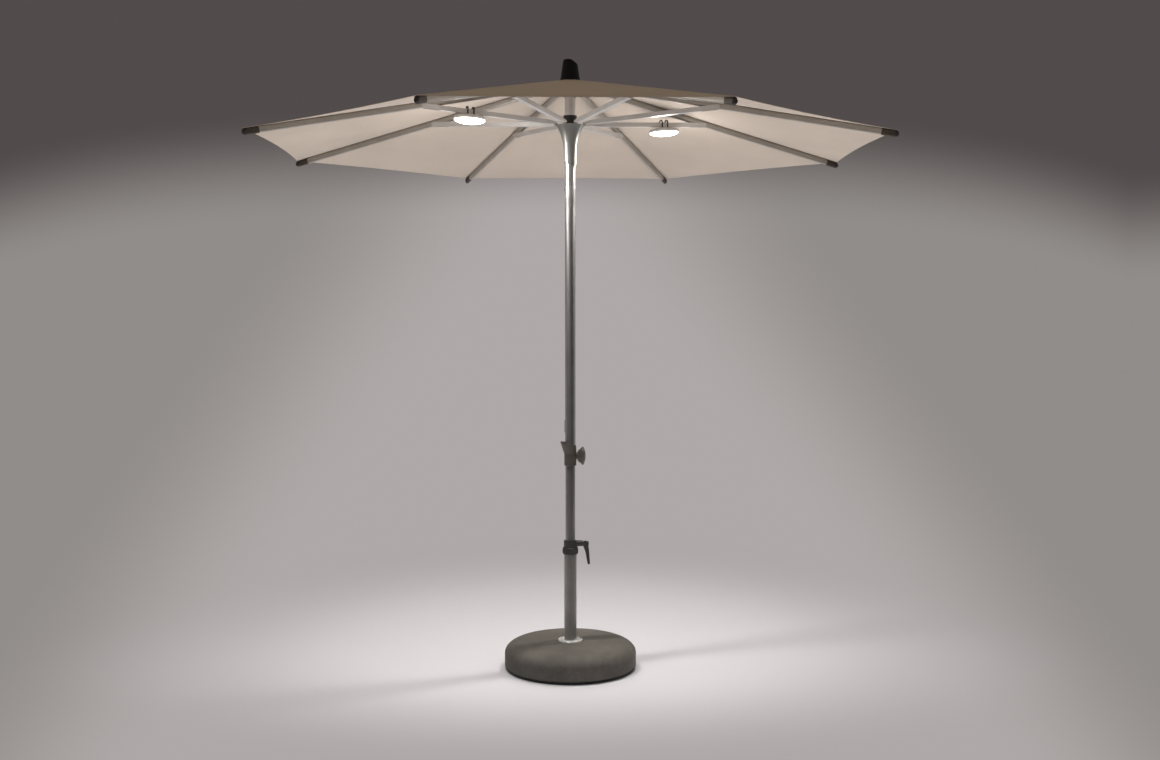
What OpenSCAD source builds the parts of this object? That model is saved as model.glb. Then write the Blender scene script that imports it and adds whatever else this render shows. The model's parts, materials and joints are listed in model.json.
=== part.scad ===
// Patio umbrella light: a round canopy on eight ribs and eight struts, a two-part
// pole with height, tilt and turn, a weighted round base, and two clip-on lamps
// under opposite struts. Millimetres, +Z up, origin at the middle of the base's
// underside. The canopy is open at rest; the photograph's front is the -Y side.

/* [Base] */
// Diameter of the concrete base
base_d = 520; // [440:1:640]
// Height of the base at its middle
base_h = 105; // [96:1:130]
// Height of the base's upright side over the floor
base_side_h = 60; // [40:1:70]
// Width of the rounded shoulder, from the side inwards
base_shoulder_w = 62; // [30:1:80]
// Rise of the top from its shoulder to its middle
base_dome = 3; // [2:1:12]
// Diameter of the flat middle of the base's top
base_flat_d = 264; // [200:2:280]
// Thickness of the rubber mat under the base
mat_h = 10; // [6:1:14]
// Step from the base's side in to the mat's edge
mat_inset = 4; // [2:1:12]
// Concrete left under the socket tube
socket_floor = 10; // [6:1:20]

/* [Socket tube] */
// Outer diameter of the socket tube
socket_d = 49; // [48.5:0.5:52]
// Wall of the socket tube
socket_wall = 2; // [1.5:0.5:3]
// Height of the clamp's lower edge over the floor
clamp_z = 450.5; // [380:0.5:520]
// Diameter of the bright floor flange round the socket tube
flange_d = 97; // [84:1:120]
// Height of the flange's rims
flange_h = 6; // [5:0.5:10]
// Diameter of the circle that the flange's screws stand on
flange_screw_pcd = 75; // [72:1:78]
// Number of flange screws
flange_screws_n = 6; // [3:1:8]

/* [Clamp] */
// Height of the clamp's lower ring
clamp_ring_h = 29; // [24:1:40]
// Diameter of the clamp's lower ring
clamp_ring_d = 60; // [58:1:70]
// How far the ring's upper and lower edges are eased
clamp_ring_edge = 4; // [1:0.5:5]
// Height of the clamp's neck
clamp_neck_h = 25; // [24:1:36]
// Diameter of the clamp's neck
clamp_neck_d = 51.4; // [48:0.2:56]
// Number of grip ridges round the lower ring
clamp_ridges = 40; // [24:1:60]
// Length of the lever's arm, from the axis to its tip
lever_len = 84; // [60:1:110]
// Diameter of the lever's hub
lever_hub_d = 25; // [18:1:26]

/* [Pole] */
// Outer diameter of the lower pole
pole_d = 38; // [36:0.5:38.2]
// Wall of the lower pole
pole_wall = 1.5; // [1:0.1:3]
// Height of the lower pole's upper end over the floor
pole_top_z = 1250; // [1180:5:1350]
// Outer diameter of the upper tube and of the top tube
tube_d = 41.2; // [41.2:0.1:42]
// Wall of the upper tube and of the top tube
tube_wall = 1.3; // [1:0.05:1.3]

/* [Height collar] */
// Height of the collar's lower edge over the floor
collar_z = 804; // [760:1:840]
// Height of the collar, up to the middle of its slanted top
collar_h = 86; // [78:1:96]
// Diameter of the collar's lower part
collar_d = 48; // [46.5:0.5:54]
// Diameter of the collar's slanted top
collar_top_d = 63; // [56:1:68]
// Slant of the collar's top, from level
collar_slant = 15; // [5:1:20]
// Height of the height knob's axis over the collar's lower edge
knob_rise = 36.6; // [30:0.2:40]
// Diameter of the height knob
knob_d = 72; // [50:1:80]
// Length of the spring catch
catch_len = 47; // [30:1:60]
// Width of the spring catch
catch_w = 6; // [4:0.5:10]
// Height of the spring catch's lower end over the collar's lower edge
catch_rise = 131; // [110:1:160]

/* [Tilt joint] */
// Height of the tilt joint's lower edge over the floor
tilt_base_z = 1816; // [1780:1:1850]
// Height of the tilt axis over the tilt joint's lower edge
tilt_rise = 46.5; // [42:0.5:52]
// Distance of the tilt axis from the pole's axis, to the left
tilt_off = 10; // [9:0.25:10.25]
// Height of the tilt joint
tilt_h = 80; // [76:1:90]
// Thickness of the tilt joint's middle blade
blade_t = 14; // [10:0.5:18]
// Diameter of the tilt pin
tilt_pin_d = 8; // [6:0.5:10]
// How far the release button stands proud of the pole
button_proud = 1.2; // [0.4:0.1:1.8]

/* [Crown and canopy] */
// Height of the ribs' pivots over the floor
crown_z = 2287.6; // [2240:0.2:2320]
// Distance of the ribs' pivots from the pole's axis
crown_r = 38; // [36:0.5:39]
// Diameter of the crown
crown_d = 88; // [86:1:92]
// Length of the crown's neck, below the ribs' pivots
crown_neck = 48; // [40:1:60]
// Distance of the rib tips from the pole's axis
canopy_r = 1250; // [1150:1:1400]
// Slope of the ribs below level, open
rib_slope = 11.8; // [8:0.1:16]
// Height of a rib's section
rib_h = 24; // [20:0.5:26]
// Width of a rib's section
rib_w = 15; // [12:0.5:16]
// Wall of a rib
rib_wall = 1.4; // [1:0.1:2]
// Length of the plastic cap on each rib tip
cap_len = 60; // [40:1:80]
// Thickness of the canopy cloth
cloth_t = 1.2; // [0.8:0.1:2]
// How far the cloth's edge draws in between two ribs
cloth_sag = 20; // [4:1:40]
// Height of the finial over the canopy's middle
finial_h = 75; // [60:1:110]
// Diameter of the finial's foot
finial_d = 81; // [70:1:86]

/* [Struts and runner] */
// Distance of the struts' outer pivots from the pole's axis, open
strut_r = 592; // [540:1:640]
// Drop of the struts' outer pivots below the ribs' middle line
strut_drop = 4; // [2:0.5:5]
// Height of a strut's section
strut_h = 17; // [14:0.5:17.5]
// Wall of a strut
strut_wall = 1.5; // [1:0.1:2]
// Drop of the struts' inner pivots below the ribs' pivots, open
run_drop = 149.6; // [143:0.2:162]
// Distance of the struts' inner pivots from the pole's axis
run_r = 63; // [61:0.5:66]
// Diameter of the funnel's rim
rim_d = 110; // [104:1:112]
// Length of the funnel, from its rim to the middle of its slanted end
funnel_len = 152; // [130:1:170]
// Diameter of the funnel's lower end
funnel_low_d = 50.4; // [49.4:0.2:54]
// Slant of the funnel's lower end, from level
funnel_slant = 16; // [5:1:20]
// Diameter of the bush's flange, over the funnel
bush_d = 53; // [52:0.2:60]

/* [Lamps] */
// Distance of the lamps from the pole's axis, open
lamp_r = 410; // [330:1:440]
// Diameter of a lamp
lamp_d = 120; // [90:1:124]
// Height of a lamp's housing
lamp_h = 16; // [12:0.5:18]
// Depth of a lamp's domed diffuser
dome_h = 14; // [6:0.5:14]
// Drop of a lamp's top below its strut
lamp_drop = 6; // [1:0.5:8]
// Distance between a lamp's two hooks
hook_gap = 24; // [16:1:50]
// Width of a hook
hook_w = 5; // [3:0.5:8]

/* [Fits] */
// Gap between parts that slide or turn past each other by hand
slide_gap = 0.3; // [0.2:0.05:0.4]
// Gap between a pin or stud and its bore
pin_gap = 0.05; // [0.03:0.01:0.1]
// Gap between a strut's fork and each side of its rib
fork_gap = 0.4; // [0.3:0.05:0.6]
// Gap between a tube and the part that it is held in
seat_gap = 0.1; // [0.05:0.05:0.2]
// Diameter of the pins through ribs and struts
pin_d = 5; // [4:0.5:6]
// Thickness of the tabs that the struts turn on
tab_t = 9; // [6:0.5:10]
// Thickness of the tongue on each rib's inner end
tongue_t = 7; // [5:0.5:8]

/* [Hidden] */
$fn = 96;
N = 8;                                   // ribs, struts and canopy panels
half = 180 / N;                          // from a rib to the middle of a panel
first = half;                            // azimuth of rib 1

// tubes
pole_r = pole_d / 2;
tube_r = tube_d / 2;
tube_in = tube_r - tube_wall;
socket_r = socket_d / 2;

// base
slab_r = base_d / 2;
socket_z = mat_h + socket_floor;
clamp_step_z = clamp_z + clamp_ring_h;
socket_top_z = clamp_step_z - 4;
clamp_top_z = clamp_step_z + clamp_neck_h;
lever_z = clamp_step_z + clamp_neck_h - 11;
lever_x = clamp_neck_d / 2 + 10.5;       // where the lever's hub starts
stud_r = 4;

// height collar
guide_h = 10;                            // part of the collar that guides the pole
knob_z = collar_z + knob_rise;
knob_x = collar_d / 2 + 3;
catch_z = collar_z + catch_rise;

// tilt joint
tilt_z = tilt_base_z + tilt_rise;
tilt_top_z = tilt_base_z + tilt_h;
cheek_r = tilt_off + 5.6;                // round end of the upper part's cheeks
block_rise = cheek_r + 1.4;              // right-hand stop, over the tilt axis

// ribs: the rib's own frame starts at its pivot, X runs out along the rib
run_z = crown_z - run_drop;
tan_s = tan(rib_slope);
cos_s = cos(rib_slope);
sin_s = sin(rib_slope);
rib_end = (canopy_r - crown_r) / cos_s;
rib_in = 24;                             // where the rib's section starts
strut_a = (strut_r - crown_r + strut_drop * sin_s) / cos_s;
joint_z = crown_z - strut_a * sin_s - strut_drop * cos_s;
strut_b = norm([strut_r - run_r, joint_z - run_z]);
strut_rise = atan2(joint_z - run_z, strut_r - run_r);
strut_w = rib_w + 2 * (fork_gap + strut_wall);
crown_top_z = crown_z + rib_h / 2 - 3.1;

// canopy
apex_z = crown_z + crown_r * tan_s + (rib_h / 2 + slide_gap) / cos_s;
cloth_in = (tube_r + 3.4) / cos(half) + 1;
cloth_out = canopy_r - 4;

// runner
bush_in = tube_r + slide_gap;
key_r = tube_r + button_proud + 0.6;     // groove that clears the tilt button
run_top_z = run_z + 30;
rim_z = run_z - 6;
step_z = rim_z - 34;                     // floor inside the funnel
funnel_z = rim_z - funnel_len;

// ---- shared shapes ----

// a round tube
module tube(r, wall, z0, z1)
    translate([0, 0, z0])
        difference() {
            cylinder(r = r, h = z1 - z0);
            translate([0, 0, -1]) cylinder(r = r - wall, h = z1 - z0 + 2);
        }

// the oval of a rib, standing, middle at the origin
module oval(w, h) {
    for (s = [-1, 1]) translate([0, s * (h - w) / 2]) circle(d = w, $fn = 40);
    square([w, h - w], center = true);
}

// lays a flat shape across the X axis and draws it out from x0 to x1
module along_x(x0, x1)
    translate([x0, 0, 0]) rotate([90, 0, 90]) linear_extrude(x1 - x0) children();

// lays a shape drawn in X and Z into the XZ plane, t thick
module in_xz(t)
    translate([0, t / 2, 0]) rotate([90, 0, 0]) linear_extrude(t) children();

// a cylinder along X, from x0 to x1
module rod_x(r, x0, x1)
    translate([x0, 0, 0]) rotate([0, 90, 0]) cylinder(r = r, h = x1 - x0);

// a cylinder along Y, centred
module rod_y(r, l)
    rotate([90, 0, 0]) cylinder(r = r, h = l, center = true);

// turns a shape to rib k
module at_rib(k) rotate([0, 0, first + (k - 1) * 2 * half]) children();

// the frame of rib k, at its pivot, X along the rib
module in_rib(k)
    at_rib(k) translate([crown_r, 0, crown_z]) rotate([0, rib_slope, 0]) children();

// the frame of strut k, at its inner pivot, X along the strut
module in_strut(k)
    at_rib(k) translate([run_r, 0, run_z]) rotate([0, -strut_rise, 0]) children();

// ---- base ----

shoulder = [for (i = [0:10]) let (a = i * 9)
    [slab_r - base_shoulder_w * (1 - cos(a)),
     base_side_h + (base_h - base_dome - base_side_h) * sin(a)]];

module base_slab()
    color([0.33, 0.31, 0.28])
    difference() {
        rotate_extrude($fn = 144)
            polygon(concat(
                [[0, mat_h], [slab_r - 4, mat_h], [slab_r, mat_h + 4]],
                shoulder,
                [[base_flat_d / 2, base_h], [0, base_h]]));
        translate([0, 0, socket_z]) cylinder(r = socket_r + seat_gap, h = base_h);
    }

module base_mat()
    color([0.07, 0.07, 0.07])
    rotate_extrude($fn = 144)
        polygon([[0, 0], [slab_r - mat_inset - 2, 0], [slab_r - mat_inset, 2],
                 [slab_r - mat_inset, mat_h], [0, mat_h]]);

module base_flange()
    color([0.78, 0.78, 0.77])
    translate([0, 0, base_h])
        difference() {
            rotate_extrude()
                polygon([[socket_r + seat_gap, 0], [flange_d / 2, 0],
                         [flange_d / 2, flange_h - 1.5], [flange_d / 2 - 1.5, flange_h],
                         [flange_d / 2 - 4, flange_h], [flange_d / 2 - 5.5, 2.5],
                         [socket_r + 6, 2.5], [socket_r + 4.5, flange_h],
                         [socket_r + seat_gap, flange_h]]);
            for (i = [0:flange_screws_n - 1])
                rotate([0, 0, (i + 0.5) * 360 / flange_screws_n])
                    translate([flange_screw_pcd / 2, 0, -1]) cylinder(r = 2.6, h = 5, $fn = 32);
        }

module flange_screws()
    color([0.82, 0.82, 0.82])
    for (i = [0:flange_screws_n - 1])
        rotate([0, 0, (i + 0.5) * 360 / flange_screws_n])
            translate([flange_screw_pcd / 2, 0, base_h])
                difference() {
                    union() {
                        cylinder(r = 2.5, h = 3, $fn = 32);
                        translate([0, 0, 2.5]) cylinder(r = 4, h = 3, $fn = 32);
                    }
                    translate([0, 0, 3.5]) cylinder(d = 4.6, h = 3, $fn = 6);
                }

module socket_tube()
    color([0.62, 0.62, 0.60])
    tube(socket_r, socket_wall, socket_z, socket_top_z);

// ---- clamp ----

module clamp_body()
    color([0.07, 0.07, 0.07])
    difference() {
        union() {
            translate([0, 0, clamp_z])
                rotate_extrude()
                    polygon([[0, 0], [clamp_ring_d / 2 - clamp_ring_edge * 0.7, 0],
                             [clamp_ring_d / 2, clamp_ring_edge],
                             [clamp_ring_d / 2, clamp_ring_h - clamp_ring_edge],
                             [clamp_ring_d / 2 - clamp_ring_edge * 0.7, clamp_ring_h],
                             [0, clamp_ring_h]]);
            // band of grip ridges
            translate([0, 0, clamp_z + 6])
                linear_extrude(clamp_ring_h - 14)
                    polygon([for (i = [0:2 * clamp_ridges - 1]) let (a = i * 180 / clamp_ridges)
                        (clamp_ring_d / 2 + (i % 2 == 0 ? 1.1 : 0.1)) * [cos(a), sin(a)]]);
            translate([0, 0, clamp_step_z]) cylinder(d = clamp_neck_d, h = clamp_neck_h);
            // boss that the lever's stud goes through
            translate([0, 0, lever_z])
                intersection() {
                    rod_x(lever_hub_d / 2, pole_r, lever_x);
                    translate([0, -50, clamp_z - lever_z]) cube([100, 100, clamp_top_z - clamp_z]);
                }
        }
        translate([0, 0, clamp_z - 1])
            cylinder(r = socket_r + seat_gap, h = socket_top_z - clamp_z + 1);
        translate([0, 0, clamp_z]) cylinder(r = pole_r + slide_gap, h = 200);
        translate([0, 0, lever_z]) rod_x(stud_r + pin_gap, 0, 100);
    }

module clamp_lever() {
    hub_end = lever_x + 27.5;
    color([0.08, 0.08, 0.08])
    translate([0, 0, lever_z]) {
        rod_x(stud_r, pole_r + slide_gap, lever_x + 8);
        rod_x(lever_hub_d / 2 - 1, lever_x + slide_gap, lever_x + 14);
        rod_x(lever_hub_d / 2 - 3, lever_x + 13, hub_end);
        rod_x(8, hub_end - 1, hub_end + 9);
        // arm, drawn out and slightly outwards to its tip
        hull() {
            translate([hub_end - 4, 0, -2]) rod_y(11, 16, $fn = 32);
            translate([hub_end + 3, 0, -lever_len * 0.38]) rod_y(7.5, 13, $fn = 32);
        }
        hull() {
            translate([hub_end + 3, 0, -lever_len * 0.38]) rod_y(7.5, 13, $fn = 32);
            translate([hub_end + 9, 0, -lever_len + 5]) rod_y(5, 10, $fn = 32);
        }
    }
}

// ---- pole ----

module lower_pole()
    color([0.60, 0.60, 0.61])
    tube(pole_r, pole_wall, socket_z + slide_gap, pole_top_z);

module upper_tube()
    color([0.72, 0.72, 0.73])
    difference() {
        tube(tube_r, tube_wall, collar_z + guide_h, tilt_base_z);
        translate([-tube_r - 2, -catch_w / 2 - slide_gap, catch_z - slide_gap])
            cube([tube_r, catch_w + 2 * slide_gap, catch_len + 2 * slide_gap]);
        translate([0, 0, knob_z]) rod_x(stud_r + pin_gap, 0, 100);
    }

module top_tube()
    color([0.72, 0.72, 0.73])
    tube(tube_r, tube_wall, tilt_top_z, crown_top_z);

// ---- height collar, knob and catch ----

module height_collar() {
    top_z = collar_z + collar_h;
    shift = (collar_top_d * cos(collar_slant) - collar_d) / 2 + 1;
    color([0.16, 0.14, 0.13])
    difference() {
        union() {
            translate([0, 0, collar_z]) cylinder(d = collar_d, h = 48);
            hull() {
                translate([0, 0, collar_z + 46]) cylinder(d = collar_d + 1, h = 1, $fn = 32);
                translate([-shift, 0, top_z]) rotate([0, collar_slant, 0])
                    translate([0, 0, -4]) cylinder(d = collar_top_d, h = 4, $fn = 48);
            }
            translate([0, 0, knob_z]) rod_x(13, tube_r, knob_x);
        }
        // the slanted seat inside the rim
        translate([-shift, 0, top_z]) rotate([0, collar_slant, 0])
            translate([0, 0, -3]) cylinder(d = collar_top_d - 5, h = 20);
        translate([0, 0, collar_z + guide_h]) cylinder(r = tube_r + seat_gap, h = 200);
        translate([0, 0, collar_z - 1]) cylinder(r = pole_r + slide_gap, h = 200);
        translate([0, 0, knob_z]) rod_x(stud_r + pin_gap, 0, 100);
    }
}

module height_knob() {
    g = slide_gap;
    r = knob_d / 2;
    color([0.13, 0.12, 0.12])
    translate([knob_x, 0, knob_z]) {
        rotate([0, 90, 0])
            rotate_extrude()
                polygon([[0, g], [14, g], [r - 14, 4], [r - 8, 12], [r - 2, 18], [r, 21],
                         [r, 23.5], [r - 3, 26], [r - 9, 28.5], [r - 17, 31],
                         [r - 24, 32.8], [0, 33.5]]);
        rod_x(stud_r, pole_r + g + seat_gap - knob_x, 2);
    }
}

module spring_catch() {
    proud = 2.2;
    color([0.1, 0.1, 0.1])
    translate([-tube_r - proud, 0, catch_z]) {
        difference() {
            translate([0, -catch_w / 2, 0]) cube([1.5, catch_w, catch_len]);
            for (s = [-1, 1]) translate([0.75, s * catch_w / 2, 0]) rotate([0, 0, 45])
                cube([0.8, 0.8, 3 * catch_len], center = true);
        }
        translate([0, 0, 5]) rod_x(2.2, -0.8, 1);
    }
}

// ---- tilt joint ----

// the upper part's outline, seen from the front, about the tilt axis
module upper_outline() {
    top = tilt_top_z - tilt_z;
    circle(r = cheek_r);
    translate([-60, 0]) square([60 + cheek_r, top]);
    translate([-60, block_rise + slide_gap]) square([120, top - block_rise - slide_gap]);
}

// the lower part's outline: a shoulder under the cheeks and a stop on the right
module lower_outline() {
    low = tilt_base_z - tilt_z;
    difference() {
        union() {
            translate([-60, low]) square([120, -low]);
            translate([cheek_r + 0.6, low]) square([60, block_rise - low]);
        }
        circle(r = cheek_r + 0.6);
    }
}

module tilt_lower()
    color([0.66, 0.66, 0.67])
    difference() {
        union() {
            intersection() {
                translate([-tilt_off, 0, tilt_z]) in_xz(100) lower_outline();
                translate([0, 0, tilt_base_z]) cylinder(r = tube_r, h = tilt_h);
            }
            // the middle blade that the cheeks turn beside
            intersection() {
                translate([-tilt_off, 0, tilt_z]) in_xz(blade_t) {
                    circle(r = tube_r - tilt_off - 0.4);
                    translate([-(tube_r - tilt_off - 0.4), -tilt_rise])
                        square([2 * (tube_r - tilt_off - 0.4), tilt_rise]);
                }
                translate([0, 0, tilt_base_z]) cylinder(r = tube_r - 0.2, h = tilt_h);
            }
            // plug inside the upper tube
            translate([0, 0, tilt_base_z - 26]) cylinder(r = tube_in - seat_gap, h = 27);
        }
        translate([-tilt_off, 0, tilt_z]) rod_y(tilt_pin_d / 2 + pin_gap, 100);
    }

// the pin's ends are flush, so that the runner slides over the joint
module tilt_pin()
    color([0.5, 0.5, 0.5])
    intersection() {
        translate([-tilt_off, 0, tilt_z]) rod_y(tilt_pin_d / 2, 100);
        translate([0, 0, tilt_base_z]) cylinder(r = tube_r, h = tilt_h);
    }

module tilt_upper()
    color([0.66, 0.66, 0.67])
    difference() {
        union() {
            intersection() {
                translate([-tilt_off, 0, tilt_z]) in_xz(100) upper_outline();
                translate([0, 0, tilt_base_z]) cylinder(r = tube_r, h = tilt_h);
            }
            // plug inside the top tube
            translate([0, 0, tilt_top_z - 1]) cylinder(r = tube_in - seat_gap, h = 27);
        }
        // slot for the blade
        translate([-50, -blade_t / 2 - slide_gap, tilt_base_z - 1])
            cube([100, blade_t + 2 * slide_gap, tilt_h - 5]);
        translate([-tilt_off, 0, tilt_z]) rod_y(tilt_pin_d / 2 + pin_gap, 100);
        // pocket for the release button
        translate([-tube_r - 1, -3.3, tilt_z + 14.7]) cube([8, 6.6, 12.6]);
    }

module tilt_button()
    color([0.08, 0.08, 0.08])
    translate([0, 0, tilt_z + 21])
        intersection() {
            translate([-tube_r - button_proud, -3, -6]) cube([button_proud + 3.7, 6, 12]);
            cylinder(r = tube_r + button_proud, h = 40, center = true);
        }

// ---- crown, finial ----

module crown_hub()
    color([0.12, 0.12, 0.12])
    difference() {
        union() {
            translate([0, 0, crown_z - 8]) cylinder(d = crown_d, h = crown_top_z - crown_z + 8);
            translate([0, 0, crown_z - crown_neck]) cylinder(r = tube_r + 3.4, h = crown_neck - 5);
        }
        translate([0, 0, crown_z - crown_neck - 5]) cylinder(r = tube_r + seat_gap, h = 200);
        for (k = [1:N]) at_rib(k) {
            translate([crown_r - pin_d / 2 - 5, -tongue_t / 2 - 0.4, crown_z - 30])
                cube([40, tongue_t + 0.8, 60]);
            translate([crown_r, 0, crown_z]) rod_y(pin_d / 2, tongue_t + 8.4);
        }
    }

module crown_pins()
    color([0.6, 0.6, 0.6])
    for (k = [1:N]) at_rib(k)
        translate([crown_r, 0, crown_z]) rod_y(pin_d / 2, tongue_t + 8, $fn = 48);

module finial() {
    r = finial_d / 2;
    under = function(x) apex_z + cloth_t + slide_gap - x * tan_s;
    top = apex_z + finial_h;
    color([0.06, 0.06, 0.06])
    difference() {
        rotate_extrude()
            polygon([[0, crown_top_z], [tube_r + 2.4, crown_top_z], [tube_r + 2.4, under(tube_r + 2.4)],
                     [r, under(r)], [r, under(r) + 4], [r - 3, under(r) + 9],
                     [r - 13.5, top - 3], [r - 16, top], [0, top]]);
        // shoulder on the right, slanted in two steps
        for (cut = [[-6, 14], [1, 34]])
            translate([cut[0], 0, top]) rotate([0, cut[1], 0])
                translate([-20, -60, 0]) cube([120, 120, 60]);
    }
}

// ---- runner ----

// outer radius of the funnel at the drop d below its rim
function funnel_r(d) = funnel_low_d / 2
    + (rim_d - funnel_low_d) / 2 * pow(max(0, 1 - d / (0.93 * funnel_len)), 3.1);

// groove inside the runner that clears the tilt button
module keyway(z0, z1)
    translate([-key_r, -3.8, z0]) cube([key_r, 7.6, z1 - z0]);

module runner_funnel() {
    wall = 3;
    low = funnel_len + 12;
    color([0.5, 0.5, 0.49])
    difference() {
        union() {
            difference() {
                translate([0, 0, rim_z])
                    rotate_extrude()
                        polygon(concat(
                            [for (i = [0:24]) let (d = i * low / 24) [funnel_r(d), -d]],
                            [[bush_in + 0.8, -low], [bush_in + 0.8, step_z - rim_z]],
                            [for (i = [6:-1:0]) let (d = i * (rim_z - step_z) / 6)
                                [funnel_r(d) - wall, -d]]));
                // slanted lower end
                translate([0, 0, funnel_z]) rotate([0, funnel_slant, 0])
                    translate([-100, -100, -60]) cube([200, 200, 60]);
            }
            // tabs that the struts turn on
            for (k = [1:N]) at_rib(k) translate([0, 0, run_z])
                in_xz(tab_t) {
                    translate([run_r, 0]) circle(r = 3, $fn = 40);
                    polygon([[tube_r + 5, -9], [rim_d / 2 - 7, -9], [run_r - 3, 3], [run_r, 3],
                             [run_r, -3], [rim_d / 2 + 0.2, -5], [funnel_r(2) - 0.5, -8],
                             [funnel_r(14) - 1.5, -20], [tube_r + 5, -20]]);
                }
        }
        translate([0, 0, step_z - 40]) cylinder(r = bush_in + 0.8, h = 100);
        keyway(funnel_z - 30, step_z + 1);
        // room for the bush
        translate([0, 0, step_z]) cylinder(r = tube_r + 4.2 + seat_gap, h = 100);
    }
}

module runner_bush()
    color([0.07, 0.07, 0.07])
    difference() {
        union() {
            translate([0, 0, step_z]) cylinder(r = tube_r + 4.2, h = run_top_z - step_z - 6);
            translate([0, 0, run_top_z - 7]) cylinder(d = bush_d, h = 7);
        }
        translate([0, 0, step_z - 1]) cylinder(r = bush_in, h = 200);
        keyway(step_z - 1, run_top_z + 1);
    }

// ---- ribs, struts and canopy ----

module rib(k)
    color([0.70, 0.70, 0.70])
    in_rib(k)
        difference() {
            along_x(rib_in, rib_end - cap_len)
                difference() {
                    oval(rib_w, rib_h);
                    oval(rib_w - 2 * rib_wall, rib_h - 2 * rib_wall);
                    // grooves that run down both sides
                    for (s = [-1, 1]) translate([s * rib_w / 2, 3]) circle(r = 0.9, $fn = 16);
                }
            // bores for the pin that the strut turns on
            translate([strut_a, 0, -strut_drop]) rod_y(pin_d / 2 + pin_gap, 50);
        }

module rib_trim(k)
    color([0.13, 0.10, 0.08])
    in_rib(k) {
        // tongue and shoulder at the crown
        difference() {
            union() {
                in_xz(tongue_t) {
                    circle(r = pin_d / 2 + 4);
                    translate([0, -pin_d / 2 - 4]) square([17, pin_d + 8]);
                }
                along_x(16, rib_in) oval(rib_w, rib_h);
            }
            rod_y(pin_d / 2 + pin_gap, 50);
        }
        // cap on the tip
        translate([0, 0, -0.5]) {
            along_x(rib_end - cap_len, rib_end - 9) oval(rib_w + 2, rib_h + 1);
            hull() {
                along_x(rib_end - 10, rib_end - 9) oval(rib_w + 2, rib_h + 1, $fn = 24);
                along_x(rib_end - 1, rib_end) oval(rib_w - 4, rib_h - 10, $fn = 24);
            }
        }
    }

// a strut is a channel, open at the top, with a tapered inner end, and with an
// outer end whose two sides go on as a fork on either side of the rib
module strut(k) {
    h = strut_h / 2;
    end = 4.5;                           // half the height of the inner end
    taper = 45;
    fork = 64;
    floor = strut_wall - h;
    color([0.66, 0.66, 0.66])
    in_strut(k)
        difference() {
            union() {
                in_xz(strut_w) {
                    circle(r = end, $fn = 40);
                    polygon([[0, end], [taper, h], [strut_b, h], [strut_b, -h], [taper, -h],
                             [0, -end]]);
                    translate([strut_b, 0]) circle(r = h, $fn = 48);
                }
                // rivet heads at the inner pivot, pin with heads at the outer one
                rod_y(3.6, strut_w + 2.6, $fn = 32);
                translate([strut_b, 0, 0]) rod_y(4.2, strut_w + 2.6, $fn = 32);
            }
            difference() {
                in_xz(strut_w - 2 * strut_wall)
                    polygon([[-20, 30], [-20, -30], [end + 2.5, -30],
                             [end + 2.5, strut_wall - end - (h - end) * (end + 2.5) / taper],
                             [taper, floor], [strut_b - fork, floor], [strut_b - fork, -30],
                             [strut_b + 40, -30], [strut_b + 40, 30]]);
                translate([strut_b, 0, 0]) rod_y(pin_d / 2, strut_w);
            }
        }
}

// the point of a canopy panel at row u (0 middle, 1 edge) and column t (-1 to 1)
function cloth_point(u, t, lift) =
    let (m0 = cloth_in * cos(half),
         m1 = cloth_out * cos(half) - cloth_sag * (1 - pow(1 - abs(t), 2)),
         m = m0 + (m1 - m0) * u,
         w = m * tan(half) - 0.15,
         side = t < 0 ? -1 : 1,
         a = [m / cos(half), 0],
         dir = [-sin(half), side * cos(half)],
         p = a + dir * (w * abs(t)))
    [p[0], p[1], apex_z - tan_s / cos(half) * m + lift];

module canopy(k) {
    rows = 8;
    cols = 8;
    n = cols + 1;
    count = (rows + 1) * n;
    pts = [for (lift = [0, cloth_t], i = [0:rows], j = [0:cols])
        cloth_point(i / rows, 2 * j / cols - 1, lift)];
    id = function(s, i, j) s * count + i * n + j;
    quads = concat(
        [for (i = [0:rows - 1], j = [0:cols - 1])
            [id(1, i, j), id(1, i, j + 1), id(1, i + 1, j + 1), id(1, i + 1, j)]],
        [for (i = [0:rows - 1], j = [0:cols - 1])
            [id(0, i, j), id(0, i + 1, j), id(0, i + 1, j + 1), id(0, i, j + 1)]],
        [for (j = [0:cols - 1])
            [id(0, 0, j), id(0, 0, j + 1), id(1, 0, j + 1), id(1, 0, j)]],
        [for (j = [0:cols - 1])
            [id(0, rows, j + 1), id(0, rows, j), id(1, rows, j), id(1, rows, j + 1)]],
        [for (i = [0:rows - 1])
            [id(0, i + 1, 0), id(0, i, 0), id(1, i, 0), id(1, i + 1, 0)]],
        [for (i = [0:rows - 1])
            [id(0, i, cols), id(0, i + 1, cols), id(1, i + 1, cols), id(1, i, cols)]]);
    color([0.80, 0.73, 0.64])
    at_rib(k)
        polyhedron(points = pts,
                   faces = [for (q = quads) each [[q[0], q[1], q[2]], [q[0], q[2], q[3]]]]);
}

// ---- lamps ----

lamp_s = (lamp_r - run_r) / cos(strut_rise);
lamp_top = -strut_h / 2 - lamp_drop;     // top of a lamp, in its strut's frame

// puts a lamp's pieces under strut k
module at_lamp(k) in_strut(k) translate([lamp_s, 0, lamp_top]) children();

module lamp_housing(k)
    color([0.55, 0.54, 0.52])
    at_lamp(k)
        rotate_extrude()
            polygon([[0, 0], [lamp_d / 2 - 16, 0], [lamp_d / 2 - 6, -2.5], [lamp_d / 2 - 1, -7],
                     [lamp_d / 2, -10], [lamp_d / 2, -lamp_h], [lamp_d / 2 - 3, -lamp_h],
                     [lamp_d / 2 - 3, -lamp_h + 2], [0, -lamp_h + 2]]);

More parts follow.
